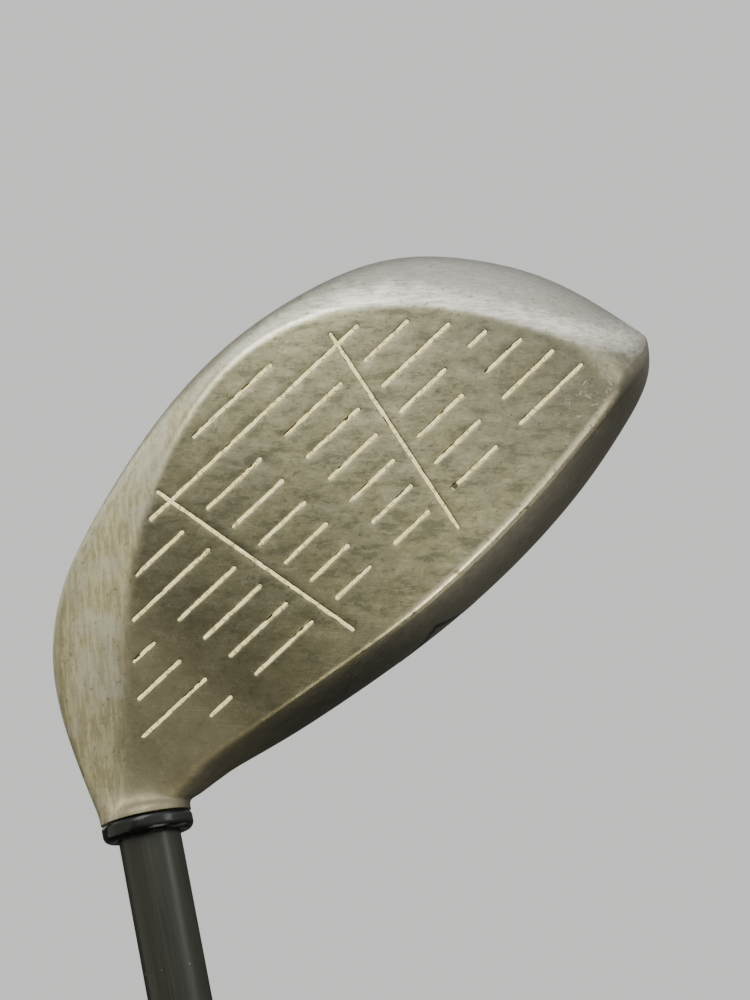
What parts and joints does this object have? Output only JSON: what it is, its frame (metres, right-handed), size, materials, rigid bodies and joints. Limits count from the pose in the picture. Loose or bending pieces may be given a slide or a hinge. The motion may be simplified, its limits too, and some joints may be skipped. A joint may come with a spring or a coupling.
{
  "type": "hybrid golf club",
  "caption": "Right-handed hybrid golf club: hollow welded steel head with painted scorelines, ring ferrule, tapered graphite shaft and slip-on rubber grip.",
  "frame": {"origin": "centre of the flat end of the butt, in the mouth of the vent hole", "axes": "+Z along the shaft from the butt to the head; the face looks towards -Y; the toe points to +X and up"},
  "size_m": [0.1009, 0.065, 1.0546],
  "materials": {
    "cast_steel": "worn pewter grey, tumbled",
    "face_steel": "blasted, darkened and scuffed",
    "sole_steel": "polished by turf wear",
    "weld_metal": "as welded",
    "tube_steel": "drawn tube",
    "foam": "closed-cell foam",
    "line_paint": "aged cream enamel",
    "ferrule_plastic": "polished black",
    "epoxy": "cured epoxy",
    "graphite": "clear-coated dark olive grey",
    "brass_weight": "turned",
    "tape": "double-sided tape",
    "grip_rubber": "moulded, matt",
    "cap_rubber": "moulded, matt"
  },
  "bodies": {
    "root": {"body_shell": "cast_steel", "face_plate": "face_steel", "face_weld": "weld_metal", "sole_plate": "sole_steel", "sole_weld": "weld_metal", "hosel_tube": "tube_steel", "foam_core": "foam", "scoreline_paint": "line_paint", "ferrule": "ferrule_plastic", "shaft_epoxy": "epoxy", "shaft_tube": "graphite", "tip_weight": "brass_weight", "grip_tape": "tape", "grip_sleeve": "grip_rubber", "grip_cap": "cap_rubber"}
  },
  "joints": []
}
